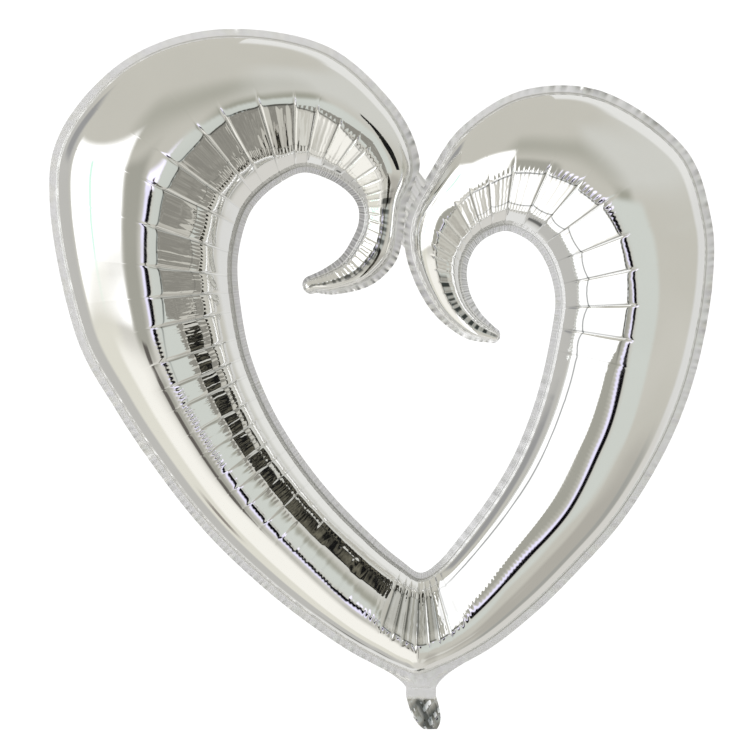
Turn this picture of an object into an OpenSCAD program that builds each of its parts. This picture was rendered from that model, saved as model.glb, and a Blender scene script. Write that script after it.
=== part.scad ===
// Heart-shaped foil balloon: an open heart made of one inflated foil tube that tapers into two
// inward hooks. Millimetres, +Z up, front towards -Y. The origin is the tie point on the neck,
// in the plane of the welded rim.

/* [Heart] */
// Width across both lobes, rim to rim
balloon_w = 796; // [600:1:1000]
// Depth of a slim stretch of tube over its width between the welds
slim_fullness = 0.96; // [0.7:0.01:1]
// Depth of the widest part of a lobe over its width between the welds
lobe_fullness = 0.80; // [0.6:0.01:1]

/* [Foil] */
// Thickness that each foil is drawn with
foil_t = 0.8; // [0.6:0.1:1.5]
// Width of the welded rim round the outside
outer_rim = 10; // [6:0.5:14]
// Width of the welded rim round the hole
inner_rim = 7; // [5:0.5:10]

/* [Neck and tail] */
// Width of the neck where a ribbon is tied
neck_w = 36; // [32:1:44]
// Length of the loose tail below its fold
tail_len = 38; // [25:1:60]
// Height of the crumples in the tail
tail_crumple = 3; // [1:0.5:4]
// How far the tail leans sideways over its length
tail_lean = 11; // [-12:1:12]

/* [Valve] */
// Width of the flat valve strip
valve_w = 24; // [16:1:28]
// Length of the valve strip above the tie point
valve_len = 118; // [60:1:120]
// Thickness that each valve film is drawn with
film_t = 0.3; // [0.2:0.05:0.4]

/* [Hidden] */

drawn_w = 796;                   // width that the outline below is drawn at
k = balloon_w / drawn_w;
rim_share = 0.18;                // a rim is never more than this share of a thin hook's width
steps = 3;                       // stations from one rib to the next
arc_steps = 10;                  // facets across one foil
widest = 230;                    // tube width at which lobe_fullness holds
fold_z = -8;                     // the tail folds about this height
fold_gap = 2 * foil_t;           // foil left out on each side of the fold, so that it can turn
tail_top_w = neck_w - 2;
tail_end_w = 16;
tail_rows = 12;
tail_cols = 14;
film_play = 0.02;                // room beside a valve film where it lies in the weld
valve_free_z = 50;               // above this the valve films hang free inside the tube
valve_top_z = 122;               // the valve films end below this, short of the hole's rim

// Ribs across the tube, from the tip of the left hook, round the left lobe, down the left arm,
// through the point at the bottom, up the right arm and round to the tip of the right hook.
// Each is [outer x, outer z, inner x, inner z] on the cut edges of the rim.
RIBS = [
    [-126, 476, -137, 495], [-102, 474, -116, 505], [-62, 484, -96, 520], [-34, 508, -83, 540],
    [-23, 536, -75, 560], [-17, 580, -76, 580], [-2, 636, -88, 597], [-36, 706, -111, 612],
    [-118, 774, -142, 620], [-244, 792, -172, 606], [-354, 756, -197, 584], [-432, 670, -211, 558],
    [-445, 574, -220, 514], [-415, 427, -217, 464], [-366, 335, -205, 402], [-311, 254, -179, 338],
    [-257, 187, -145, 282], [-196, 128, -102, 228], [-132, 77, -54, 180], [-66, 35, -23, 154],
    [-3, 13, -1, 140], [71, 42, 20, 152], [136, 91, 44, 180], [191, 145, 80, 228],
    [239, 199, 109, 276], [280, 262, 131, 328], [312, 328, 146, 378], [335, 401, 157, 432],
    [350, 490, 161, 468], [348, 566, 154, 502], [316, 650, 140, 528], [222, 716, 122, 543],
    [126, 720, 101, 550], [50, 676, 80, 543], [8, 616, 66, 531], [-15, 574, 58, 516],
    [-20, 534, 55, 502], [-8, 490, 56, 487], [16, 450, 61, 470], [52, 422, 73, 450],
    [82, 416, 89, 434]];
last = len(RIBS) - 1;

// Web where the rims of the two hooks are welded into one
WEB = [[-27, 546], [-24, 534], [-18, 528], [-11, 536], [-8, 570], [0, 596], [8, 612], [2, 622], [-8, 612],
    [-24, 590]];

// Half of the flat neck, right side, from the rim down to the fold
NECK_SIDE = [[0, 20], [56, 38], [30, 21], [22, 12]];

// Smooth curve through the ribs; at = whole ribs plus a fraction
function rib(at) =
    let (i = min(floor(at), last - 1), t = at - i,
         a = RIBS[max(i - 1, 0)], b = RIBS[i], c = RIBS[i + 1], d = RIBS[min(i + 2, last)])
    k * 0.5 * (2 * b + (c - a) * t + (2 * a - 5 * b + 4 * c - d) * t * t
        + (3 * b - a - 3 * c + d) * t * t * t);

// A station is [middle, half of the line from inner to outer edge], both in the plane of the rim
function station(at) = let (r = rib(at)) [[r[0] + r[2], r[1] + r[3]] / 2, [r[0] - r[2], r[1] - r[3]] / 2];

// Beyond the first and last rib the tube closes in a round tip
function tip(at, side, angle) =
    let (s = station(at), across = s[1], along = side * [-across[1], across[0]])
    [s[0] + along * sin(angle), across * cos(angle)];

STATIONS = concat(
    [for (angle = [80, 55, 28]) tip(0, -1, angle)],
    [for (j = [0 : last * steps]) station(j / steps)],
    [for (angle = [28, 55, 80]) tip(last, 1, angle)]);

// Section of one foil at a station: cut edge, inside of the bulge, other cut edge, outside of the
// bulge. face is -1 for the front foil and 1 for the back foil.
function foil_section(s, face) =
    let (half = norm(s[1]), dir = s[1] / half,
         rim_o = min(k * outer_rim, 2 * half * rim_share), rim_i = min(k * inner_rim, 2 * half * rim_share),
         mid = s[0] + dir * (rim_i - rim_o) / 2, w = half - (rim_o + rim_i) / 2,
         full = slim_fullness + (lobe_fullness - slim_fullness) * min(1, 2 * w / (k * widest)),
         deep = w * full, thin = min(foil_t, 0.4 * w))
    concat(
        [at_depth(s[0] + s[1], 0)],
        [for (j = [0 : arc_steps]) let (a = 180 * j / arc_steps)
            at_depth(mid + dir * (w - thin) * cos(a), face * deep * sin(a))],
        [at_depth(s[0] - s[1], 0), at_depth(s[0] - s[1], face * thin)],
        [for (j = [arc_steps : -1 : 0]) let (a = 180 * j / arc_steps)
            at_depth(mid + dir * w * cos(a), face * (thin + deep * sin(a)))],
        [at_depth(s[0] + s[1], face * thin)]);

function at_depth(p, y) = [p[0], y, p[1]];

// Closed solid through a row of equal sections; flip turns the faces the other way round
module loft(sections, flip) {
    n = len(sections[0]);
    rows = len(sections);
    sides = [for (i = [0 : rows - 2], j = [0 : n - 1])
        let (a = i * n + j, b = i * n + (j + 1) % n, c = a + n, d = b + n)
        each (flip ? [[a, c, b], [b, c, d]] : [[a, b, c], [b, d, c]])];
    // a cap runs as strips between the inside and the outside of the section
    caps = [for (row = [0, rows - 1], j = [0 : n / 2 - 2])
        let (a = row * n + j, b = a + 1, c = row * n + n - 1 - j, d = c - 1, turn = (row == 0) != flip)
        each (turn ? [[a, c, b], [b, c, d]] : [[a, b, c], [b, d, c]])];
    polyhedron([for (s = sections) each s], concat(sides, caps), convexity = 12);
}

// Flat plate in the plane of the rim, reaching foil_t towards the given face
module rim_plate(points, face) {
    rotate([90, 0, 0]) translate([0, 0, face > 0 ? -foil_t : 0]) linear_extrude(foil_t) polygon(points);
}

module neck_plate(face) {
    side = concat(k * NECK_SIDE, [[neck_w / 2, 2], [neck_w / 2, fold_z + fold_gap]]);
    rim_plate(concat(side, [for (j = [len(side) - 1 : -1 : 1]) [-side[j][0], side[j][1]]]), face);
}

// Recess that takes one valve film, through the neck and the rim
module valve_recess(face) {
    depth = film_t + film_play;
    translate([-valve_w / 2, face > 0 ? 0 : -depth, fold_z]) cube([valve_w, depth, k * valve_free_z - fold_z]);
}

module foil(face) {
    difference() {
        union() {
            loft([for (s = STATIONS) foil_section(s, face)], face < 0);
            rim_plate(k * WEB, face);
            neck_plate(face);
        }
        valve_recess(face);
    }
}

module valve_film(face) {
    foot = valve_w / 2 - 0.2;
    end = valve_w * 0.35;
    top_z = min(valve_len, k * valve_top_z);
    outline = [[-foot, fold_z + fold_gap], [foot, fold_z + fold_gap], [foot, k * 40], [end, top_z],
        [-end, top_z], [-foot, k * 40]];
    rotate([90, 0, 0]) translate([0, 0, face > 0 ? -film_t : 0]) linear_extrude(film_t) polygon(outline);
}

// Depth of the tail's crumples at u across (-1 to 1) and v down (0 to 1); none at the fold
function crumple(u, v) = tail_crumple * min(1, 3 * v) * (sin(290 * u + 120 * v) + 0.6 * sin(410 * v - 160 * u));

// The tail keeps its width until near its end, where it is bunched together
function tail_x(u, v) = tail_lean * v + u * (tail_top_w + (tail_end_w - tail_top_w) * pow(v, 4)) / 2;

// One crumpled ply of the tail. The plies part towards the mouth, where the balloon is filled.
module tail_ply(face) {
    top = fold_z - fold_gap;
    loft([for (i = [0 : tail_rows]) let (v = i / tail_rows, z = top - tail_len * v)
        concat(
            [for (j = [0 : tail_cols]) let (u = 2 * j / tail_cols - 1, part = 2 * v * (1 - u * u) + 0.01)
                [tail_x(u, v), crumple(u, v) + face * part, z]],
            [for (j = [tail_cols : -1 : 0]) let (u = 2 * j / tail_cols - 1, part = 2 * v * (1 - u * u) + 0.01)
                [tail_x(u, v), crumple(u, v) + face * (part + foil_t), z]])],
        face > 0);
}

module front_foil() { color("silver") foil(-1); }
module back_foil() { color("silver") foil(1); }
module valve_film_front() { color("whitesmoke") valve_film(-1); }
module valve_film_back() { color("whitesmoke") valve_film(1); }
module tail_front() { color("silver") tail_ply(-1); }
module tail_back() { color("silver") tail_ply(1); }

front_foil();
back_foil();
valve_film_front();
valve_film_back();
tail_front();
tail_back();
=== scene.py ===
import math

import bpy
import numpy as np
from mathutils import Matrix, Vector


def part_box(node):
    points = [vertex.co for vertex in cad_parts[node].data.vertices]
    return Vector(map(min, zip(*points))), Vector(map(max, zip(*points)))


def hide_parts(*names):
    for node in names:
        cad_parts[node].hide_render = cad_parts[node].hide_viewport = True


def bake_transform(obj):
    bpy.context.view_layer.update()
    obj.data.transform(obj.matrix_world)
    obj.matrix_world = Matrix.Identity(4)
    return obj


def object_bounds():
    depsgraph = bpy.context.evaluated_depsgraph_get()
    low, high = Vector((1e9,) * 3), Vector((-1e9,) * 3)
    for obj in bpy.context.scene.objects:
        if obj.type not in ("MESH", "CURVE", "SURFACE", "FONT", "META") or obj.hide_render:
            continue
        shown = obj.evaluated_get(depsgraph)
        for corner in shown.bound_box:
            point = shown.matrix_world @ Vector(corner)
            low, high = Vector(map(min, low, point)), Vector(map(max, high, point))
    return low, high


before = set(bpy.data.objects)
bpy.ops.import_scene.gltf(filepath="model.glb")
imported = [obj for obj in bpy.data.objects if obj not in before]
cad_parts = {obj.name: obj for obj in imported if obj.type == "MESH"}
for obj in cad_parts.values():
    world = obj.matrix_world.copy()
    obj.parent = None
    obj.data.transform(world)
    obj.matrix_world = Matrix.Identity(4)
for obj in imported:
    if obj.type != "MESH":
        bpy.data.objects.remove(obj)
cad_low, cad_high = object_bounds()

# Heart-shaped foil balloon: one inflated foil tube, tapering into two inward hooks. Each side is one
# die-cut sheet of mirror film, taut and smooth outside the crest of the tube and gathered into
# creased tiles between the crest and the hole. Metres, +Z up, front towards -Y.

# ---------------------------------------------------------------- sizes
RIBS_MM = [  # outer x, outer z, inner x, inner z of the cut edges, left hook tip to right hook tip
    [-126, 476, -137, 495], [-102, 474, -116, 505], [-62, 484, -96, 520], [-34, 508, -83, 540],
    [-23, 536, -75, 560], [-17, 580, -76, 580], [-2, 636, -88, 597], [-36, 706, -111, 612],
    [-118, 774, -142, 620], [-244, 792, -172, 606], [-354, 756, -197, 584], [-432, 670, -211, 558],
    [-445, 574, -220, 514], [-415, 427, -217, 464], [-366, 335, -205, 402], [-311, 254, -179, 338],
    [-257, 187, -145, 282], [-196, 128, -102, 228], [-132, 77, -54, 180], [-66, 35, -23, 154],
    [-3, 13, -1, 140], [71, 42, 20, 152], [136, 91, 44, 180], [191, 145, 80, 228],
    [239, 199, 109, 276], [280, 262, 131, 328], [312, 328, 146, 378], [335, 401, 157, 432],
    [350, 490, 161, 468], [348, 566, 154, 502], [316, 650, 140, 528], [222, 716, 122, 543],
    [126, 720, 101, 550], [50, 676, 80, 543], [8, 616, 66, 531], [-15, 574, 58, 516],
    [-20, 534, 55, 502], [-8, 490, 56, 487], [16, 450, 61, 470], [52, 422, 73, 450],
    [82, 416, 89, 434]]
DRAWN_WIDTH = 0.798              # width of the filled heart that the ribs are drawn at
foil_low, foil_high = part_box("front_foil")
MM = 0.001 * (foil_high.x - foil_low.x) / DRAWN_WIDTH
RIBS = np.array(RIBS_MM, float) * MM
LAST = len(RIBS) - 1
OUTER_RIM = 0.010
INNER_RIM = 0.008
RIM_SHARE = 0.18                 # a rim is never more than this share of a thin hook's width
SLIM_FULLNESS, LOBE_FULLNESS, WIDEST = 0.96, 0.80, 0.230
PLY_GAP = 0.00025                # half the distance between the two foils in the weld
FILM_ROOM = 0.0004               # more of it where the valve films lie between them

# Lines along the tube, as (rib, place across it): 1 is the outer seam, -1 the seam at the hole
CREST = [(0, .1), (3, .1), (5.5, .1), (6.8, .08), (7.6, .04), (8.6, -.02), (11, -.04), (12.5, .02),
         (14, .09), (17, .11), (18.7, .23), (20.4, .36), (22.2, .15), (23.6, .19), (25, .12), (27, .03),
         (30, -.12), (32, -.12), (35, .05), (40, .05)]
COMB = [(0, -.05), (3, -.04), (5.5, -.16), (6.8, -.17), (7.5, -.1), (8.3, -.07), (9, -.11), (10.3, -.22),
        (11.5, -.21), (12.5, -.16), (14, .05), (16, .08), (18.7, .2), (19.3, .3), (20.5, .36), (20.8, .3),
        (21.5, .02), (26.5, -.12), (29, -.17), (30, -.22), (31.5, -.27), (32.6, -.25), (34, -.04),
        (36, .04), (40, 0)]
RING = [(0, -.6), (5, -.7), (8.7, -.71), (9.1, -.6), (11, -.61), (13, -.53), (15, -.54), (17, -.58),
        (19, -.56), (20.5, -.63), (21.5, -.7), (27, -.7), (31, -.72), (33, -.7), (35, -.57), (36, -.42),
        (37, -.32), (40, -.35)]

# The rest are (rib, amount). How flat the tiles are and how deep the creases between them, 0 to 1
TILES = [(12.4, 1), (13.6, .25), (16, .12), (18.6, 0), (19.4, .9), (20.6, .9), (21.2, 0), (26.3, 0),
         (27.4, .7), (28.5, 1)]
CREASES = [(12.5, 1), (16, .5), (17.5, .1), (18.6, .1), (19.2, 1), (20.6, 1), (21.2, 0), (26.2, 0), (27, 1)]

# The long fold down the left arm, and the place across the tube where it runs
FACET = [(11.8, 0), (13, 1), (18.6, 1), (19.4, 0)]
FACET_PLACE = -.3

# The ring round the hole: its depth as a share of the half width, how much shade is painted along it,
# and how many degrees round the tube its shelf is wide
RING_DEPTH = [(12, .06), (14, .045), (18.6, .04), (20, .06), (21.4, .02), (26.4, .02), (27.6, .06)]
RING_LINE = [(0, 0), (5, .2), (20.8, .3), (21.6, .9), (31, .9), (33, .5), (36, 0)]
SHELF = [(20.6, 7), (21.4, 3.5), (26.4, 3.5), (27.2, 7)]

# Hollow places, at the point and where each hook faces the other, get painted shade that stands in for
# the dark reflection of the film itself there: how dark, and between which places across the tube
HOLLOW = [(-.5, .5), (1.5, .8), (5.2, .9), (5.6, 0), (18.8, 0), (19.2, .35), (20.5, .35), (20.7, 0),
          (36.6, 0), (36.9, 1), (39.6, 1), (40.5, .4)]
HOLLOW_LOW = [(0, -.05), (6, .02), (18, -.6), (21, -.6), (36, -.32), (40, -.4)]
HOLLOW_HIGH = [(0, .32), (5.5, .45), (18, .12), (21, .12), (36, .03), (40, .15)]
CREASE_SHADE = [(6, .5), (9, 1), (32.5, 1), (34, .5)]    # the hooks' small creases get less painted shade

# How finely the film is gathered: on the tiles, on the comb line and on the ring
TILE_GATHER = [(0, .6), (5.5, .5), (8, .25), (9, .06), (12, .06), (12.4, .3), (16.5, .3), (17, .05),
               (18.5, .05), (18.9, .8), (20.6, .8), (21.2, .25), (23, .03), (26, .03), (29, .25),
               (31.5, .3), (33, .3), (36, .5), (40, .5)]
COMB_GATHER = [(0, .3), (5, .4), (7, .4), (8.5, .1), (12.2, .1), (13.9, .3), (14.2, 1), (15.2, 1),
               (15.5, .05), (18.5, .05), (18.9, .8), (20.6, .8), (21.6, .1), (29.5, .1), (30, 1),
               (32, .8), (34, .3), (40, .4)]
RING_GATHER = [(0, .3), (7, .6), (12.5, .5), (14, .4), (18.6, .15), (19, .8), (20.6, .8), (21.4, .1),
               (26.4, .1), (26.7, 1), (32, 1), (35, .5), (40, .3)]

# The welded rims: how crumpled the outer one is, which also sets the shade painted in its crumples, and
# how much shade is painted in the small folds of the one at the hole
TICKS = [(-.5, 1.4), (3, 1.6), (6, 1.4), (7.5, .15), (13, .15), (15, .8), (19, .8), (20.5, .2),
         (23.5, .4), (26, .4), (28, 1), (31.5, 1), (32.5, .3), (34, 1.4), (40.5, 1.4)]
INNER_RIM_SHADE = [(-.5, .8), (6.5, .75), (8.5, .35), (31, .35), (33.5, .65), (40.5, .75)]


def smooth(low, high, x):
    t = np.clip((x - low) / (high - low), 0, 1)
    return t * t * (3 - 2 * t)


def mix(a, b, share):
    return a + (b - a) * share


def bell(distance, width):
    """1 at no distance, falling away smoothly over about the given width."""
    return np.exp(-(distance / width) ** 2)


def column(x):
    return x[:, None]


def along_ribs(at, line):
    """The value of a line of (rib, value) pairs at each station, level at every pair."""
    ribs, values = np.array(line, float).T
    i = np.clip(np.searchsorted(ribs, at) - 1, 0, len(ribs) - 2)
    return mix(values[i], values[i + 1], smooth(ribs[i], ribs[i + 1], at))


def waves(rng, lengths, count):
    """Smooth seeded noise along a distance, about -1 to 1, made of sine waves of the given lengths."""
    low, high = lengths
    size = rng.uniform(low, high, count)
    phase = rng.uniform(0, 2 * math.pi, count)
    return lambda x: sum(np.sin(2 * math.pi * x / a + b) for a, b in zip(size, phase)) / math.sqrt(count)


# ---------------------------------------------------------------- the tube
def rib(at):
    """The smooth curve through the ribs; at is whole ribs plus a fraction, as an array."""
    i = np.clip(np.floor(at), 0, LAST - 1).astype(int)
    t = column(at - i)
    a, b, c, d = (RIBS[np.clip(i + o, 0, LAST)] for o in (-1, 0, 1, 2))
    return 0.5 * (2 * b + (c - a) * t + (2 * a - 5 * b + 4 * c - d) * t ** 2
                  + (3 * b - a - 3 * c + d) * t ** 3)


TIP = 0.5                        # ribs' length of the round tip beyond the first and the last rib
TIP_TURN = math.radians(88)      # how far round it the last station lies
POINT_AT, POINT_REACH = 20, 0.22      # the seam dips to a sharp point at the bottom of the heart
POINT_DIP = 0.004


def tube(at):
    """What a section needs at each station: cut edges, seams, middle, half width, depth, crest."""
    on_rib = np.clip(at, 0, LAST)
    turn = column(at - on_rib) / TIP * TIP_TURN
    r = rib(on_rib)
    reach = (r[:, :2] - r[:, 2:]) / 2
    middle = (r[:, :2] + r[:, 2:]) / 2 + np.stack([-reach[:, 1], reach[:, 0]], 1) * np.sin(turn)
    outer, inner = middle + reach * np.cos(turn), middle - reach * np.cos(turn)
    width = np.linalg.norm(outer - inner, axis=1)
    way = (outer - inner) / column(width)
    rim_o = np.minimum(OUTER_RIM - POINT_DIP * bell(at - POINT_AT, POINT_REACH), RIM_SHARE * width)
    rim_i = np.minimum(INNER_RIM, RIM_SHARE * width)
    half = (width - rim_o - rim_i) / 2
    seam_o = outer - way * column(rim_o)
    seam_i = inner + way * column(rim_i)
    full = mix(SLIM_FULLNESS, LOBE_FULLNESS, np.minimum(1, 2 * half / WIDEST))
    return dict(outer=outer, inner=inner, way=way, seam_o=seam_o, seam_i=seam_i,
                mid=(seam_o + seam_i) / 2, half=half, deep=half * full, crest=along_ribs(at, CREST))


def angle_of(place, crest):
    """Angle round the section, from the outer seam at 0, of a place across the tube."""
    return np.arccos(np.clip(2 * (place - crest) / (1 + np.sqrt(1 - 4 * crest * (place - crest))), -1, 1))


VALLEY = 0.35                    # distances along the tube are taken this far towards its inner seam
CREASE_SEED = 5                  # both sheets crease at the same places, as they share their rims
CREASE_GAP, POINT_GAP = 0.36, 0.16    # between creases, in half widths of the tube, and at the point
LEAST_GAP = 0.002
POINT_FROM, POINT_TO = 18.7, 20.7     # ribs round the point, where the creases crowd
CREASE_ROWS = 0.0022             # stations are closest within this distance of a crease
FINE_STEPS = 16001
STATION_COUNT = 1380


def valley_line(t):
    return t["mid"] - t["way"] * VALLEY * column(t["half"])


def crease_places(rng):
    """Ribs at which the radial creases run."""
    places, at, step = [], 0.15, 0.2
    while at < LAST - 0.1:
        places.append(at)
        t = tube(np.array([at, min(at + step, LAST)]))
        middle = valley_line(t)
        pace = np.linalg.norm(middle[1] - middle[0]) / step
        gap = POINT_GAP if POINT_FROM < at < POINT_TO else CREASE_GAP
        at += (gap * t["half"][0] + LEAST_GAP) * rng.uniform(0.72, 1.22) / pace
    return np.array(places)


def stations(creases):
    """Stations along the tube, closer together where the foil is creased and closest at a crease."""
    fine = np.linspace(-TIP, LAST + TIP, FINE_STEPS)
    step = np.linalg.norm(np.diff(valley_line(tube(fine)), axis=0), axis=1)
    along = np.concatenate([[0], np.cumsum(step)])
    crease_along = np.interp(creases, fine, along)
    middle = (along[1:] + along[:-1]) / 2
    away = np.abs(column(middle) - crease_along[None, :]).min(1)
    creased = along_ribs((fine[1:] + fine[:-1]) / 2, CREASES)
    weight = step * (0.5 + 0.5 * creased + 2.2 * creased * bell(away, CREASE_ROWS))
    total = np.concatenate([[0], np.cumsum(weight)])
    at = np.interp(np.linspace(0, total[-1], STATION_COUNT), total, fine)
    return at, np.interp(at, fine, along), crease_along


def chord(a, start, end, r_start, r_end):
    """Distance from the middle of the section of a straight line between two points on it."""
    return np.sin(end - start) / (np.sin(end - a) / r_start + np.sin(a - start) / r_end)


ROWS = (18, 7, 6, 3, 10)         # rows from seam to comb line, bend, ring, shelf and inner seam
OUTLINE = np.array([-1.5, -0.7, 0, 0.7, 1.5]) * 0.001    # close rows along the comb line and the ring


def section_rows(t, comb, bend, ring, shelf):
    """Angle of every row at every station, with close rows where the foil is creased lengthwise."""
    close = OUTLINE[None, :] / column(t["half"])
    near_comb, near_ring = column(comb) + close, column(ring) + close
    inner_seam = 0 * shelf + math.pi

    def fill(low, high, count, first=False, power=1.0):
        f = np.linspace(0, 1, count + 2)[0 if first else 1:-1] ** power
        return column(low) + column(high - low) * f

    return np.concatenate([
        fill(0 * comb, near_comb[:, 0], ROWS[0], True, 1.5), near_comb,
        fill(near_comb[:, -1], bend, ROWS[1]), column(bend),
        fill(bend, near_ring[:, 0], ROWS[2]), near_ring,
        fill(near_ring[:, -1], shelf, ROWS[3]), column(shelf),
        fill(shelf, inner_seam, ROWS[4], power=0.75), column(inner_seam)], 1)


TILE_BEND = 0.55                 # where a tile bends, as a share of the way from comb line to ring
COMB_PEAK = math.radians(2.5)    # the comb line reaches this much further out at each crease
RING_SAG = 0.05                  # radians by which the ring bows towards the hole between creases
FACET_RAISE = 0.006              # the long fold stands out by this share of the radius
SHELF_SHARE = 0.55               # the shelf is sunk by this share of the ring's depth
FULL_SIZE = 0.05                 # half width of the tube from which its creases have their full size
GROOVE_DEPTH, GROOVE_WIDTH = 0.0011, 0.0013
OUTLINE_DEPTH, OUTLINE_WIDTH = 0.0003, 0.0009
RIPPLE_HEIGHT, RIPPLE_LENGTHS = 0.00012, (0.0075, 0.012)
SIDE_AT, SIDE_WIDTH = 0.0016, 0.0008  # the painted shade line on one side of each crease
OUTER_SEAM_WIDTH, INNER_SEAM_WIDTH = 0.0017, 0.002
# lengths of the blotches of painted shade in the hollows
PAINTED_BLOT_LENGTHS = (0.005, 0.016)
COMB_GATHER_WIDTH = 0.0045


def tiles_along(creases, along, crease_along, rng):
    """How near the sides of its tile each station is, and the tile's own five small differences."""
    cell = np.clip(np.searchsorted(crease_along, along) - 1, 0, len(creases) - 2)
    width = crease_along[cell + 1] - crease_along[cell]
    phase = np.clip((along - crease_along[cell]) / width, 0, 1)
    away = np.minimum(phase, 1 - phase) * width
    return dict(edge=np.abs(2 * phase - 1), away=column(away),
                side=column(np.where(phase < 0.5, 1.0, -1.0) * away),
                own=rng.uniform(-1, 1, (5, len(creases)))[:, cell])


def lengthwise_lines(at, crest, tile):
    """Angle at each station of the comb line, the bend of the tiles, the ring and its shelf."""
    edge, own = tile["edge"], tile["own"]
    creased, facet = along_ribs(at, CREASES), along_ribs(at, FACET)
    comb = angle_of(along_ribs(at, COMB), crest) - creased * (COMB_PEAK * edge ** 8 + 0.025 * own[0])
    ring = angle_of(along_ribs(at, RING), crest) + creased * (RING_SAG * (1 - edge ** 2) + 0.03 * own[1])
    bend = mix(mix(comb, ring, TILE_BEND), angle_of(FACET_PLACE + 0 * at, crest) + 0.03 * own[2], facet)
    return comb, bend, ring, ring + np.radians(along_ribs(at, SHELF))


def section_radius(skin):
    """Radius at every angle, as a share of a plain section: flat across a tile, sunk along the ring."""
    at, a, edge, own = skin["at"], skin["a"], skin["edge"], skin["own"]
    comb, bend, ring, shelf = skin["lines"]
    flat = column(along_ribs(at, TILES) * (0.93 + 0.07 * own[4]))
    sunk = column(along_ribs(at, RING_DEPTH) * (1 + 0.25 * own[3]) * (0.9 + 0.1 * edge ** 2))
    plain = 1 + 0 * comb
    r_ring, r_shelf = 1 - sunk, 1 - SHELF_SHARE * sunk
    r_bend = mix(1 + FACET_RAISE * skin["facet"], chord(bend, comb, ring, 1, r_ring), flat)
    radius = np.ones_like(a)
    for low, high, r_low, r_high, straight in (
            (comb, bend, plain, r_bend, flat), (bend, ring, r_bend, r_ring, 0.75),
            (ring, shelf, r_ring, r_shelf, 0.0), (shelf, math.pi * plain, r_shelf, plain, 0.45)):
        share = np.clip((a - low) / (high - low), 0, 1)
        line = chord(np.clip(a, low, high), low, high, r_low, r_high)
        within = (a >= low) & (a <= high)
        radius = np.where(within, mix(mix(r_low, r_high, share), line, straight), radius)
    return radius


def crease_reach(skin):
    """How much of its depth a radial crease has at every angle: none outside the comb line."""
    a, shelf = skin["a"], skin["lines"][3]
    reach = smooth(-0.0035, 0.001, skin["past_comb"]) * (1 - 0.75 * smooth(shelf, shelf + 0.35, a))
    return reach * (1 - smooth(math.pi - 0.25, math.pi, a)) * skin["creased"]


def tile_outline(skin):
    """The line along the outer end of each tile."""
    line = bell(skin["past_comb"], OUTLINE_WIDTH) * smooth(0.0008, 0.0025, skin["away"])
    return line * np.minimum(1, skin["tiles"] * 1.5)


def pushed_in(skin, rng):
    """How far the film lies inside a plain section: tiles, ring, creases, outlines and ripples."""
    past_ring = skin["a"] - skin["lines"][2]
    groove = GROOVE_DEPTH * bell(skin["away"], GROOVE_WIDTH) * crease_reach(skin) * skin["size"]
    ripple = RIPPLE_HEIGHT * column(waves(rng, RIPPLE_LENGTHS, 4)(skin["along"]))
    ripple = ripple * smooth(-0.002, 0.004, skin["past_comb"]) * (1 - smooth(0.0, 0.12, past_ring))
    return (skin["half"] * (1 - section_radius(skin)) + groove
            + OUTLINE_DEPTH * tile_outline(skin) * skin["size"] + ripple * np.sqrt(skin["creased"]))


def painted_shade(skin, rng):
    """Painted shade on the film: lines along its sharp folds, ring and seams, and blotches in its hollows."""
    at, a, half, crest = skin["at"], skin["a"], skin["half"], skin["crest"]
    # painted shade lines: one side of each crease, the ring, the seams and the tile outlines
    sides = bell(skin["side"] - SIDE_AT, SIDE_WIDTH) * crease_reach(skin)
    on_ring = bell((a - skin["lines"][2]) * half, OUTLINE_WIDTH)
    seams = bell(a * half, OUTER_SEAM_WIDTH) + bell((a - math.pi) * half, INNER_SEAM_WIDTH)
    dark = 0.9 * tile_outline(skin) + 0.6 * sides + column(along_ribs(at, RING_LINE)) * on_ring + 0.6 * seams
    dark = np.clip(dark, 0, 1) * skin["size"] * column(along_ribs(at, CREASE_SHADE))
    # painted shade in the hollows, standing in for the film's dark reflection of itself, in blotches
    place = np.cos(a) + crest * np.sin(a) ** 2
    low, high = column(along_ribs(at, HOLLOW_LOW)), column(along_ribs(at, HOLLOW_HIGH))
    painted_blots = 0.35 + 0.65 * smooth(-0.3, 0.4, waves(rng, PAINTED_BLOT_LENGTHS, 5)(skin["along"]))
    hollow = smooth(low - 0.06, low + 0.03, place) * (1 - smooth(high - 0.03, high + 0.08, place))
    return np.clip(dark + hollow * column(along_ribs(at, HOLLOW) * painted_blots), 0, 1)


def gathering(skin):
    """How finely the film is gathered on the tiles, on the ring and along the comb line."""
    at, a, past_comb = skin["at"], skin["a"], skin["past_comb"]
    bend, ring, shelf = skin["lines"][1:]
    on_tiles = smooth(-0.001, 0.002, past_comb)
    on_tiles = mix(on_tiles, on_tiles * smooth(bend - 0.2, bend, a), skin["facet"])
    on_tiles = on_tiles * (1 - smooth(-0.01, 0.03, a - ring))
    on_ring = smooth(-0.03, 0.01, a - ring) * (1 - smooth(0.0, 0.03, a - shelf))
    gather = (column(along_ribs(at, TILE_GATHER)) * on_tiles + column(along_ribs(at, RING_GATHER)) * on_ring
              + column(along_ribs(at, COMB_GATHER)) * bell(past_comb, COMB_GATHER_WIDTH))
    return np.clip(gather, 0, 1) * skin["size"]


def place_skin(t, a, shift, face):
    """Points of the bulge: a section whose crest leans to one side, pushed in by shift."""
    half, deep, crest = column(t["half"]), column(t["deep"]), column(t["crest"])
    slope = half * np.sin(a) * (1 - 2 * crest * np.cos(a))
    length = np.hypot(deep * np.cos(a), slope)
    x = half * (np.cos(a) + crest * np.sin(a) ** 2) - deep * np.cos(a) / length * shift
    y = deep * np.sin(a) + PLY_GAP - slope / length * shift
    return np.stack([column(t["mid"][:, 0]) + column(t["way"][:, 0]) * x, face * y,
                     column(t["mid"][:, 1]) + column(t["way"][:, 1]) * x], 2)


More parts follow.
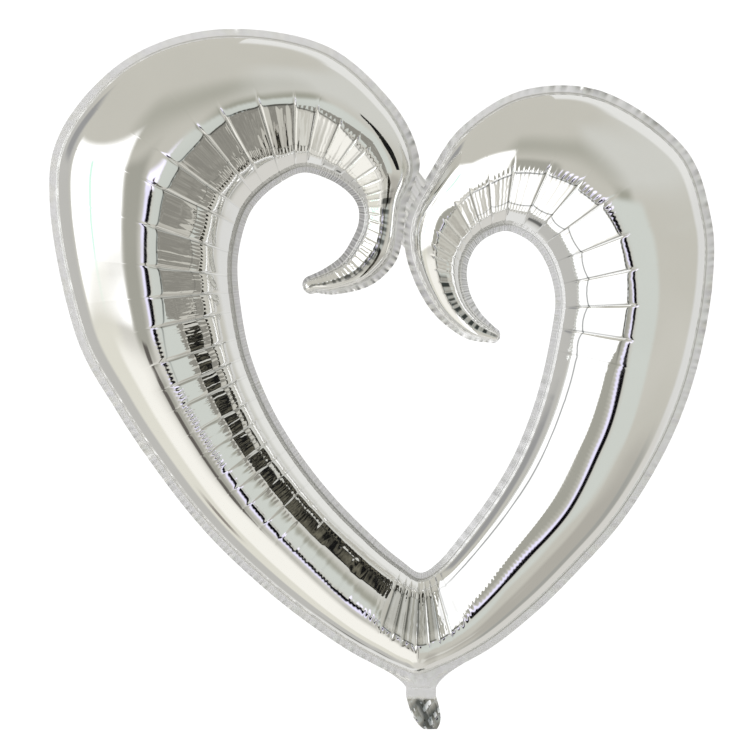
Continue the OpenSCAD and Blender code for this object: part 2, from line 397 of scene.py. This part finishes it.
def skin_grid(face, seed):
    """Bulge of one sheet by station and row, with its painted shade and how finely gathered it is there."""
    rng = np.random.default_rng(seed)
    creases = crease_places(np.random.default_rng(CREASE_SEED))
    at, along, crease_along = stations(creases)
    t = tube(at)
    tile = tiles_along(creases, along, crease_along, rng)
    lines = lengthwise_lines(at, t["crest"], tile)
    a, half = section_rows(t, *lines), column(t["half"])
    skin = dict(tile, at=at, along=along, a=a, half=half, crest=column(t["crest"]),
                lines=[column(line) for line in lines], past_comb=(a - column(lines[0])) * half,
                tiles=column(along_ribs(at, TILES)), creased=column(along_ribs(at, CREASES)),
                facet=column(along_ribs(at, FACET)), size=np.minimum(1, half / FULL_SIZE))
    bulge = place_skin(t, a, pushed_in(skin, rng), face)
    return at, along, t, bulge, a, (painted_shade(skin, rng), gathering(skin))


# ---------------------------------------------------------------- the rims
RIM_ROWS = 5
RIM_SEED, SPECK_SEED = 11, 12
SLOW_LIFT, TICK_LIFT, BUNCH_LIFT = 0.0009, 0.00055, 0.0028    # heights of the outer rim's crumples
INNER_LIFT = 0.0003
BUNCHES = ((31.15, 0.16), (30.4, 0.13))      # rib and reach of the two bunched places


def rims(at, along, t, face):
    """Rows of the two welded rims, with the painted shade of their crumples; both sheets share them."""
    rng = np.random.default_rng(RIM_SEED)
    slow = waves(rng, (0.012, 0.03), 6)(along) * (0.4 + 0.6 * np.abs(waves(rng, (0.05, 0.2), 3)(along)))
    quick = waves(rng, (0.0045, 0.008), 4)(along)
    ticks = along_ribs(at, TICKS)
    valley = np.clip(0.3 + 0.5 * quick, 0, 1)
    bunch = sum(bell(at - middle, reach) for middle, reach in BUNCHES)
    outer, inner, shade = [], [], []
    for j in range(RIM_ROWS):
        f = 1 - j / RIM_ROWS
        p = t["seam_o"] + (t["outer"] - t["seam_o"]) * f
        lift = SLOW_LIFT * slow * f + TICK_LIFT * ticks * quick * f ** 3 + BUNCH_LIFT * bunch * quick * f ** 2
        outer.append(np.stack([p[:, 0], face * PLY_GAP + lift, p[:, 1]], 1))
        # painted shade in the valleys of the crumples and on the bunched places, strongest at the cut edge
        shade.append(np.clip(0.04 + (0.62 * valley * ticks + 0.4 * bunch) * f, 0, 0.85))
        g = (j + 1) / RIM_ROWS
        q = t["seam_i"] + (t["inner"] - t["seam_i"]) * g
        inner.append(np.stack([q[:, 0], face * PLY_GAP + INNER_LIFT * slow * g, q[:, 1]], 1))
    return np.stack(outer, 1), np.stack(inner, 1), np.stack(shade, 1)


def inner_rim_shade(at, along):
    """Painted shade of the small folds of the rim at the hole, at each station."""
    painted_specks = 0.7 + 0.3 * waves(np.random.default_rng(SPECK_SEED), (0.0035, 0.007), 4)(along)
    return column(along_ribs(at, INNER_RIM_SHADE) * painted_specks)


# ---------------------------------------------------------------- neck, tail and web
NECK_FROM, NECK_TO = 19.25, 20.75     # ribs between which the rim runs on into the neck
NECK_HALF, MOUTH_HALF = 0.018, 0.008  # half widths of the neck and of the bunched mouth
TIE_Z, FOLD_Z = 0.002, -0.008         # heights of the end of the neck and of the tail's fold
TAIL_END_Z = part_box("tail_front")[0].z
TAIL_LEAN = 0.011
NECK_ROWS, TAIL_ROWS = 10, 30
FOLD_ROWS = 8                    # rows of the tail that lie flat round its fold
TAIL_SEED, WEB_SEED = 23, 31
CRUMPLES = (0.031, 0.022, 0.017, 0.012, 0.009)
CRUMPLE_DEPTH = 0.055            # share of its own size that each crumple is deep
MOUTH_PART = 0.003               # how far each ply lies off the middle at the mouth


def zigzag(x):
    """A folded line between -1 and 1: flat facets with sharp ridges."""
    return 4 * np.abs(x - np.floor(x + 0.5)) - 1


def crumple(x, z):
    """Sharp folds of the loose tail, the same for both plies."""
    rng = np.random.default_rng(TAIL_SEED)
    depth = 0 * x
    for size in CRUMPLES:
        turn = rng.uniform(-1.0, 1.0)
        depth = depth + size * zigzag((x * math.cos(turn) + z * math.sin(turn)) / size + rng.uniform())
    return CRUMPLE_DEPTH * depth


def neck_and_tail(edge, face):
    """Rows that carry the sheet on from its cut edge, through the neck, to the mouth of the tail."""
    u = np.linspace(-1, 1, len(edge))
    rows = []
    for f in np.linspace(0, 1, NECK_ROWS + 1)[1:]:
        bend = np.stack([1.25 * NECK_HALF * u, 0 * u, mix(edge[:, 2], TIE_Z, 0.5) - 0.002 * np.abs(u)], 1)
        foot = np.stack([NECK_HALF * u, face * PLY_GAP + 0 * u, TIE_Z + 0 * u], 1)
        rows.append((1 - f) ** 2 * edge + 2 * f * (1 - f) * bend + f * f * foot)
    for f in np.linspace(0, 1, TAIL_ROWS + 1)[1:]:
        z = mix(TIE_Z, TAIL_END_Z, f)
        v = max(0.0, (FOLD_Z - z) / (FOLD_Z - TAIL_END_Z))
        x = TAIL_LEAN * v + u * mix(NECK_HALF, MOUTH_HALF, v ** 4)
        fold = crumple(x, z + 0 * u) * smooth(0.0, 0.2, v)
        part = PLY_GAP + FILM_ROOM + MOUTH_PART * smooth(0.3, 1, v) * (1 - u * u)
        rows.append(np.stack([x, fold + face * part, z + 0 * u], 1))
    return np.stack(rows, 1)


def tail_shade(tail):
    """Painted shade, darker in the hollows of the crumples below the fold, standing in for the film's dark
    reflection of itself.
    """
    x, z = tail[..., 0], tail[..., 2]
    hollow = crumple(x, z) / 0.003
    below = smooth(FOLD_Z, FOLD_Z - 0.008, z)
    return np.clip(0.12 + below * (0.55 + 0.5 * hollow), 0.05, 0.9)


WEB_LEFT, WEB_RIGHT = (3.95, 5.75), (36.1, 34.1)      # ribs that it joins, from below upwards
WEB_ROWS, WEB_STEPS = 7, 60
WEB_RIDGE = 0.0005
WEB_GAP = PLY_GAP + 0.0001       # it lies just outside the rims that it joins


def web(face):
    """The strip of weld that joins the two hooks, ridged from side to side."""
    left = rib(np.linspace(*WEB_LEFT, WEB_STEPS))[:, :2]
    right = rib(np.linspace(*WEB_RIGHT, WEB_STEPS))[:, :2]
    far = np.linspace(0, 1, WEB_STEPS)
    ridge = WEB_RIDGE * waves(np.random.default_rng(WEB_SEED), (0.05, 0.11), 4)(far)
    rows = []
    for f in np.linspace(-0.35, 1.35, WEB_ROWS):
        p = left + (right - left) * f
        rows.append(np.stack([p[:, 0], face * WEB_GAP + ridge, p[:, 1]], 1))
    return np.stack(rows, 1)


# ---------------------------------------------------------------- one sheet
FILM_PER_RADIAN = 0.09           # length in the UV map of one radian round the tube


def quads_of(index, turn):
    corners = (index[:-1, :-1], index[:-1, 1:], index[1:, 1:], index[1:, :-1])
    quads = np.stack(corners, -1).reshape(-1, 4)
    return quads[:, ::-1] if turn else quads


def grid_map(along, a):
    """UV map of the tube: metres along it and metres of film across it."""
    share = np.arange(RIM_ROWS)[None, :] / RIM_ROWS + 0 * a[:, :1]
    across = np.concatenate([mix(-OUTER_RIM, 0, share), a * FILM_PER_RADIAN,
                             FILM_PER_RADIAN * math.pi + INNER_RIM * (share + 1 / RIM_ROWS)], 1)
    return np.stack([column(along) + 0 * across, across], 2)


def room_for_valve(vertices, face):
    """Parts the weld by the thickness of the valve films, where they pass through it."""
    x, z = np.abs(vertices[:, 0]), vertices[:, 2]
    film = (1 - smooth(0.013, 0.019, x)) * (1 - smooth(0.03, 0.05, z)) * (z > TIE_Z)
    vertices[:, 1] += face * FILM_ROOM * film


def merged(parts):
    """The values of several grids as one list, with a row for each place in a grid."""
    return np.concatenate([part.reshape(part.shape[0] * part.shape[1], -1) for part in parts])


def sheet_mesh(name, vertices, faces, slots, uvs, stored, materials):
    mesh = bpy.data.meshes.new(name)
    mesh.from_pydata(vertices.tolist(), [], faces.tolist())
    loop_vertex = np.zeros(len(mesh.loops), np.int32)
    mesh.loops.foreach_get("vertex_index", loop_vertex)
    uv = mesh.uv_layers.new(name="UVMap")
    uv.data.foreach_set("uv", uvs[loop_vertex].astype(np.float32).ravel())
    for label, values in stored.items():
        attribute = mesh.attributes.new(label, "FLOAT", "POINT")
        attribute.data.foreach_set("value", values.astype(np.float32).ravel())
    for material in materials:
        mesh.materials.append(material)
    mesh.polygons.foreach_set("material_index", slots.astype(np.int32).ravel())
    mesh.shade_smooth()
    mesh.validate()
    return mesh


def make_sheet(name, face, seed, materials):
    """One die-cut sheet: bulge, both rims, its neck, its ply of the tail and its side of the web."""
    at, along, t, bulge, a, (dark, gather) = skin_grid(face, seed)
    rim_o, rim_i, rim_shade = rims(at, along, t, face)
    grid = np.concatenate([rim_o, bulge, rim_i], 1)
    plain = 0 * rim_shade

    # the neck starts from the cut edge of the outer rim
    span = np.flatnonzero((at >= NECK_FROM) & (at <= NECK_TO))
    tail, strip = neck_and_tail(grid[span, 0], face), web(face)
    parts = (grid, tail, strip)
    index, count = [], 0
    for part in parts:
        size = part.shape[0] * part.shape[1]
        index.append(count + np.arange(size).reshape(part.shape[:2]))
        count += size
    index[1] = np.concatenate([index[0][span, :1], index[1]], 1)
    faces = [quads_of(index[0], face < 0), quads_of(index[1], face > 0), quads_of(index[2], face > 0)]

    # the first material is for the bulge and the loose tail, the second for what is welded flat
    slots = [np.ones((part.shape[0] - 1, part.shape[1] - 1), int) for part in index]
    slots[0][:, RIM_ROWS:-RIM_ROWS] = 0
    slots[1][:, NECK_ROWS + FOLD_ROWS:] = 0

    # painted shade, stored as fold: rim crumples, the bulge's folds, seams and hollows, the hole's rim and
    # the tail's crumples
    fold = [np.concatenate([rim_shade, dark, inner_rim_shade(at, along) + plain], 1),
            tail_shade(tail), 0 * strip[..., 0]]
    gathered = [np.concatenate([plain, gather, plain], 1), 0 * tail[..., 0], 0 * strip[..., 0]]
    uvs = [grid_map(along, a), tail[..., [2, 0]], strip[..., [2, 0]]]
    vertices = merged(parts)
    room_for_valve(vertices, face)
    mesh = sheet_mesh(name, vertices, np.concatenate(faces), merged(slots), merged(uvs),
                      {"fold": merged(fold), "gather": merged(gathered)}, materials)
    piece = bpy.data.objects.new(name, mesh)
    bpy.context.scene.collection.objects.link(piece)
    return piece


# ---------------------------------------------------------------- materials
def new_material(name):
    material = bpy.data.materials.new(name)
    material.use_nodes = True
    return material, material.node_tree, material.node_tree.nodes["Principled BSDF"]


def noise(tree, coordinates, scale, detail=2):
    """Smooth noise over the surface, by its Object or UV coordinates."""
    texture = tree.nodes.new("ShaderNodeTexNoise")
    texture.inputs["Scale"].default_value = scale
    texture.inputs["Detail"].default_value = detail
    tree.links.new(tree.nodes.new("ShaderNodeTexCoord").outputs[coordinates], texture.inputs["Vector"])
    return texture.outputs["Fac"]


def between(tree, value, low, high):
    spread = tree.nodes.new("ShaderNodeMapRange")
    spread.inputs["To Min"].default_value = low
    spread.inputs["To Max"].default_value = high
    tree.links.new(value, spread.inputs["Value"])
    return spread.outputs["Result"]


def two_tone(tree, value, first, second, start=0.0, end=1.0):
    ramp = tree.nodes.new("ShaderNodeValToRGB")
    for stop, position, colour in zip(ramp.color_ramp.elements, (start, end), (first, second)):
        stop.position = position
        stop.color = (*colour, 1)
    tree.links.new(value, ramp.inputs["Fac"])
    return ramp.outputs["Color"]


def stored_value(tree, label):
    """What the mesh holds under this name at each point."""
    attribute = tree.nodes.new("ShaderNodeAttribute")
    attribute.attribute_name = label
    return attribute.outputs["Fac"]


def painted_shade_mixer(tree, dark):
    """Mixer that paints shade: it turns a colour into the given dark one as far as the stored fold values
    say.
    """
    mixer = tree.nodes.new("ShaderNodeMix")
    mixer.data_type = "RGBA"
    tree.links.new(stored_value(tree, "fold"), mixer.inputs["Factor"])
    mixer.inputs["B"].default_value = (*dark, 1)
    return mixer


PLEAT_SCALE = 62                 # one fine pleat in about 5 mm along the tube
PLEAT_HEIGHT = 0.0003


def mirror_film():
    """Metallised film: a clear mirror, a little cloudy, with painted shade in its folds, seams and hollows,
    and finely gathered.
    """
    material, tree, shader = new_material("mirror_film")
    shader.inputs["Metallic"].default_value = 1.0
    cloud = noise(tree, "Object", 14, 3)
    # painted shade colour, mixed in as far as the fold values say
    folds = painted_shade_mixer(tree, (0.06, 0.07, 0.07))
    tree.links.new(two_tone(tree, cloud, (0.88, 0.88, 0.87), (0.94, 0.94, 0.935)), folds.inputs["A"])
    tree.links.new(folds.outputs["Result"], shader.inputs["Base Color"])
    tree.links.new(between(tree, cloud, 0.02, 0.08), shader.inputs["Roughness"])
    pleats = tree.nodes.new("ShaderNodeTexWave")
    pleats.inputs["Scale"].default_value = PLEAT_SCALE
    pleats.inputs["Distortion"].default_value = 2.5
    pleats.inputs["Detail"].default_value = 2
    tree.links.new(tree.nodes.new("ShaderNodeTexCoord").outputs["UV"], pleats.inputs["Vector"])
    height = tree.nodes.new("ShaderNodeMath")
    height.operation = "MULTIPLY"
    tree.links.new(pleats.outputs["Fac"], height.inputs[0])
    tree.links.new(stored_value(tree, "gather"), height.inputs[1])
    bump = tree.nodes.new("ShaderNodeBump")
    bump.inputs["Strength"].default_value = 1.0
    bump.inputs["Distance"].default_value = PLEAT_HEIGHT
    tree.links.new(height.outputs["Value"], bump.inputs["Height"])
    tree.links.new(bump.outputs["Normal"], shader.inputs["Normal"])
    return material


def weld_film():
    """The same film pressed matt by the sealing bar, with painted shade where it is crumpled."""
    material, tree, shader = new_material("weld_film")
    shader.inputs["Metallic"].default_value = 0.75
    tree.links.new(between(tree, noise(tree, "UV", 70), 0.28, 0.42), shader.inputs["Roughness"])
    # painted shade colour in the crumples of the rims and the neck
    crumples = painted_shade_mixer(tree, (0.2, 0.2, 0.2))
    crumples.inputs["A"].default_value = (0.95, 0.95, 0.95, 1)
    tree.links.new(crumples.outputs["Result"], shader.inputs["Base Color"])
    return material


def valve_plastic():
    """Thin clear film of the valve, a little milky."""
    material, tree, shader = new_material("valve_plastic")
    shader.inputs["Transmission Weight"].default_value = 0.6
    shader.inputs["IOR"].default_value = 1.5
    haze = noise(tree, "Object", 90)
    tree.links.new(two_tone(tree, haze, (0.80, 0.82, 0.83), (0.92, 0.93, 0.93)), shader.inputs["Base Color"])
    tree.links.new(between(tree, haze, 0.12, 0.35), shader.inputs["Roughness"])
    return material


# ---------------------------------------------------------------- pieces
film, weld = mirror_film(), weld_film()
for name, face, seed, nodes in (("front_sheet", -1, 5, ("front_foil", "tail_front")),
                                ("back_sheet", 1, 8, ("back_foil", "tail_back"))):
    sheet = make_sheet(name, face, seed, (film, weld))
    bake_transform(sheet)
    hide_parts(*nodes)

clear = valve_plastic()
for name in ("valve_film_front", "valve_film_back"):
    for slot in bpy.data.objects[name].material_slots:
        slot.material = clear


# ---------------------------------------------------------------- stage
def tone(red, green, blue, gain=1.0):
    """A colour that reads as these 0 to 255 values after the foil's own small loss."""
    return [gain * ((c / 255) ** 2.2) / 0.9 for c in (red, green, blue)]


WARM = tone(192, 190, 181)
ROOM = [  # what the foil reflects: from and to longitude, from and to latitude, softness, colour
    (-200, 200, -95, -12, 8, tone(208, 206, 199)),        # floor
    (-120, -50, -66, -12, 8, tone(219, 217, 206)),        # floor by the window
    (-64, -13, -62, -23, 6, tone(243, 241, 234)),         # where the window lights it
    (3, 175, -66, -12, 8, tone(192, 190, 181)),           # floor on the dark side
    (34, 92, -56, -27, 7, tone(172, 169, 161)),           # rug on it
    (18, 48, -66, -46, 5, tone(210, 209, 202)),           # paper on the floor
    (90, 116, -58, -26, 6, tone(158, 158, 153)),          # its far end
    (-34, 44, 24, 44, 10, tone(170, 169, 159)),           # darker ceiling in front
    (20, 150, 18, 60, 12, tone(202, 202, 196)),           # ceiling on the right
    (12, 26, 6, 20, 5, tone(158, 158, 147)),              # lamp shade on the right
    (5, 36, -22, 10, 4, tone(201, 205, 199)),             # pale door on the right
    (112, 200, -22, 20, 6, tone(214, 214, 212)),          # backdrop, right end
    (118, 200, -66, -18, 6, tone(208, 206, 201)),         # its foot
    (112, 200, 14, 60, 6, tone(224, 224, 221)),           # its top
    (-200, -148, -66, 20, 8, tone(222, 222, 220)),        # backdrop, left end
    (-150, -106, -62, 28, 6, tone(184, 183, 179)),        # curtain behind the window
    (-134, -114, 15, 38, 4, tone(150, 150, 150)),         # dark curtain rail
    (-102, -28, -13, 28, 3, tone(255, 255, 255, 1.5)),    # window
    (-69, -65, -13, 20, 2, tone(205, 245, 225)),          # its frame
    (-27, -9, -20, 16, 4, tone(160, 159, 150)),           # wall beside the window
    (-6, 5, -1, 8, 2, tone(238, 234, 255, 1.3)),          # lamp over the camera
    (-6, -2, -14, 2, 1.5, tone(226, 222, 248, 1.1)),      # its pole
    (-92, -80, -46, -40, 2, tone(140, 134, 128)),         # shoe by the window
    (-21, -15, -22, -17, 1, tone(96, 92, 88)),            # shoe by the wall
    (-147, -139, -49, -43, 2, tone(104, 104, 102)),       # shoe by the curtain
    (-1.2, 1.2, -44, -14, 0.8, tone(78, 76, 66)),         # foot of the camera stand
    (-2.8, 2.8, -14.5, -3.4, 0.9, tone(16, 14, 18)),      # camera stand
    (-1.9, 1.9, -3.8, -0.8, 0.6, tone(16, 14, 18)),       # its narrow top
    (-0.8, 0.8, -1.2, 4, 0.5, tone(66, 42, 48)),          # camera
]


def math_node(tree, operation, a, b=None):
    node = tree.nodes.new("ShaderNodeMath")
    node.operation = operation
    for socket, value in zip(node.inputs, (a, b)):
        if isinstance(value, (int, float)):
            socket.default_value = value
        elif value is not None:
            tree.links.new(value, socket)
    return node.outputs[0]


def smooth_step(tree, value, start, end):
    node = tree.nodes.new("ShaderNodeMapRange")
    node.interpolation_type = "SMOOTHSTEP"
    node.inputs["From Min"].default_value = start
    node.inputs["From Max"].default_value = end
    tree.links.new(value, node.inputs["Value"])
    return node.outputs["Result"]


def room_colour(tree, patches):
    """The colour of the room in every direction: each patch lies over the ones before it."""
    way = tree.nodes.new("ShaderNodeSeparateXYZ")
    tree.links.new(tree.nodes.new("ShaderNodeTexCoord").outputs["Generated"], way.inputs[0])
    forward = math_node(tree, "MULTIPLY", way.outputs["Y"], -1)
    longitude = math_node(tree, "ARCTAN2", way.outputs["X"], forward)
    latitude = math_node(tree, "ARCSINE", way.outputs["Z"])
    colour = None
    for west, east, south, north, soft, shade in patches:
        masks = []
        for value, low, high in ((longitude, west, east), (latitude, south, north)):
            low, high, edge = math.radians(low), math.radians(high), math.radians(soft)
            masks.append(math_node(tree, "MULTIPLY", smooth_step(tree, value, low - edge, low + edge),
                                   smooth_step(tree, value, high + edge, high - edge)))
        blend = tree.nodes.new("ShaderNodeMix")
        blend.data_type = "RGBA"
        tree.links.new(math_node(tree, "MULTIPLY", *masks), blend.inputs["Factor"])
        if colour is None:
            blend.inputs["A"].default_value = (*WARM, 1)
        else:
            tree.links.new(colour, blend.inputs["A"])
        blend.inputs["B"].default_value = (*shade, 1)
        colour = blend.outputs["Result"]
    return colour


def studio(patches):
    """A world that cameras see as plain white and that surfaces reflect as a soft room of patches."""
    world = bpy.data.worlds.new("studio")
    bpy.context.scene.world = world
    world.use_nodes = True
    tree = world.node_tree
    room = tree.nodes["Background"]
    tree.links.new(room_colour(tree, patches), room.inputs["Color"])
    plain = tree.nodes.new("ShaderNodeBackground")
    plain.inputs["Color"].default_value = (1, 1, 1, 1)
    plain.inputs["Strength"].default_value = 1.1
    seen = tree.nodes.new("ShaderNodeMixShader")
    tree.links.new(tree.nodes.new("ShaderNodeLightPath").outputs["Is Camera Ray"], seen.inputs["Fac"])
    tree.links.new(room.outputs["Background"], seen.inputs[1])
    tree.links.new(plain.outputs["Background"], seen.inputs[2])
    tree.links.new(seen.outputs["Shader"], tree.nodes["World Output"].inputs["Surface"])


studio(ROOM)


def stage_piece(name, corners, material):
    mesh = bpy.data.meshes.new(name)
    mesh.from_pydata(corners, [], [tuple(range(len(corners)))])
    mesh.materials.append(material)
    piece = bpy.data.objects.new(name, mesh)
    bpy.context.scene.collection.objects.link(piece)
    return piece


def board(name, corners, colour, streaks):
    """A streaky board of the studio, seen only in the foil and only from the side that it faces."""
    material, tree, shader = new_material(name)
    tree.nodes.remove(shader)
    lit = tree.nodes.new("ShaderNodeEmission")
    streaky = two_tone(tree, noise(tree, "Object", 34), colour, streaks, 0.46, 0.72)
    tree.links.new(streaky, lit.inputs["Color"])
    sides = tree.nodes.new("ShaderNodeMixShader")
    tree.links.new(tree.nodes.new("ShaderNodeNewGeometry").outputs["Backfacing"], sides.inputs["Fac"])
    tree.links.new(lit.outputs["Emission"], sides.inputs[1])
    tree.links.new(tree.nodes.new("ShaderNodeBsdfTransparent").outputs["BSDF"], sides.inputs[2])
    tree.links.new(sides.outputs["Shader"], tree.nodes["Material Output"].inputs["Surface"])
    piece = stage_piece(name, corners, material)
    piece.visible_camera = False
    piece.visible_shadow = False
    piece.visible_diffuse = False


# Boards that stand in the hole of the heart with their edges to the camera, so that it can't see them:
# dark, grey and a small dark one towards the left arm and hook, white towards the right arm. Each
# corner is (y, z).
DARK_BOARD = [(-.14, .48), (-.08, .30), (-.08, .16), (-.15, .20), (-.22, .36), (-.25, .42), (-.285, .45),
              (-.285, .51)]
GREY_BOARD = [(-.29, .64), (-.29, .46), (-.36, .36), (-.62, .36), (-.62, .64)]
HOOK_BOARD = [(-.15, .75), (-.075, .66), (-.052, .612), (-.075, .608), (-.125, .66), (-.16, .74)]
WHITE_BOARD = [(-.50, .58), (-.50, .40), (-.33, .28), (-.20, .12), (-.02, .09), (-.03, .58)]
WHITE_TILT = 0.06                # the white board leans to the right by this much of its height
board("dark_board", [(0.05, y, z) for y, z in DARK_BOARD], (0.008, 0.008, 0.008), (0.17, 0.16, 0.12))
board("grey_board", [(0.045, y, z) for y, z in GREY_BOARD], tone(134, 132, 125), tone(156, 154, 146))
board("hook_board", [(0.03, y, z) for y, z in HOOK_BOARD], (0.01, 0.01, 0.01), (0.05, 0.05, 0.04))
board("white_board", [(0.02 + WHITE_TILT * (z - 0.1), y, z) for y, z in WHITE_BOARD],
      (1.2, 1.2, 1.2), (1.4, 1.4, 1.4))

FLOOR_Z, FLOOR_REACH = -0.9, 6
FLOOR_CORNERS = [(x * FLOOR_REACH, y * FLOOR_REACH, FLOOR_Z) for x, y in ((-1, -1), (1, -1), (1, 1), (-1, 1))]
paint, _, paint_shader = new_material("floor_paint")
paint_shader.inputs["Base Color"].default_value = (0.86, 0.86, 0.86, 1)
paint_shader.inputs["Roughness"].default_value = 0.7
floor = stage_piece("floor", FLOOR_CORNERS, paint)
floor.visible_glossy = False

SOFTBOX_AIM = Vector((0, 0, 0.35))


def softbox(name, place, size, power):
    """A large soft lamp that lights the matt surfaces; the foil shows the room in its stead."""
    lamp = bpy.data.lights.new(name, "AREA")
    lamp.size = size
    lamp.energy = power
    piece = bpy.data.objects.new(name, lamp)
    bpy.context.scene.collection.objects.link(piece)
    piece.location = place
    piece.rotation_euler = (SOFTBOX_AIM - Vector(place)).to_track_quat("-Z", "Y").to_euler()
    piece.visible_glossy = False
    piece.visible_camera = False


softbox("left_softbox", (-2.2, -2.6, 1.9), 2.0, 45)
softbox("right_softbox", (2.4, -2.2, 1.2), 2.0, 25)
softbox("back_softbox", (0.4, 2.8, 1.6), 2.0, 30)

bpy.context.scene.view_settings.view_transform = "Standard"

# ---------------------------------------------------------------- camera
PICTURE_WIDTH = 0.9              # width of the object's plane that the picture takes in
FAR, SENSOR = 4.5, 36
centre = (cad_low + cad_high) / 2
camera_data = bpy.data.cameras.new("camera")
camera = bpy.data.objects.new("camera", camera_data)
bpy.context.scene.collection.objects.link(camera)
camera.location = (centre.x - 0.008, -FAR, centre.z + 0.005)
camera.rotation_euler = (math.pi / 2, 0, 0)
camera_data.sensor_width = SENSOR
camera_data.lens = SENSOR * FAR / PICTURE_WIDTH
camera_data.clip_end = 50
bpy.context.scene.camera = camera
